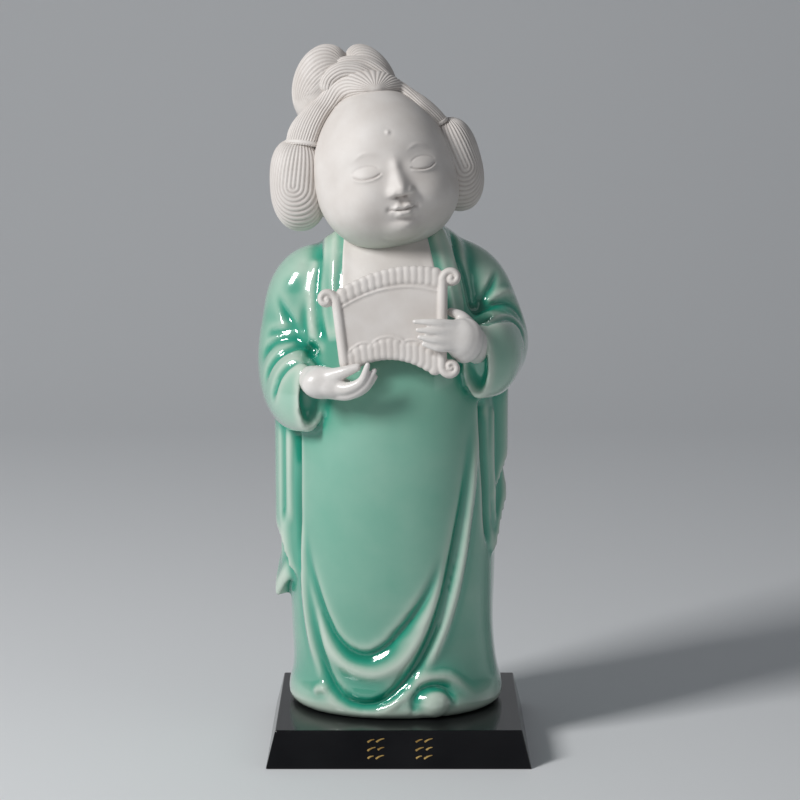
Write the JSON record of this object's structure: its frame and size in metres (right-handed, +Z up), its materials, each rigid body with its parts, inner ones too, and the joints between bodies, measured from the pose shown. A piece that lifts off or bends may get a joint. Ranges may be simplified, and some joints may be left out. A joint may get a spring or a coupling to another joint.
{
  "type": "tang court lady figure",
  "caption": "Porcelain figure of a Tang court lady in a long celadon gown, holding framed panpipes, on a low black lacquered plinth.",
  "frame": {"origin": "middle of the plinth's underside", "axes": "+Z up along the figure, -Y the way the figure faces, +X to the viewer's right"},
  "size_m": [0.1474, 0.1276, 0.3824],
  "materials": {
    "celadon_porcelain": "glossy celadon glaze over white porcelain, with bare white biscuit on the head, hands and panpipes",
    "black_lacquer": "polished black lacquer on wood"
  },
  "bodies": {
    "root": {"figure": "celadon_porcelain", "plinth": "black_lacquer"}
  },
  "joints": []
}
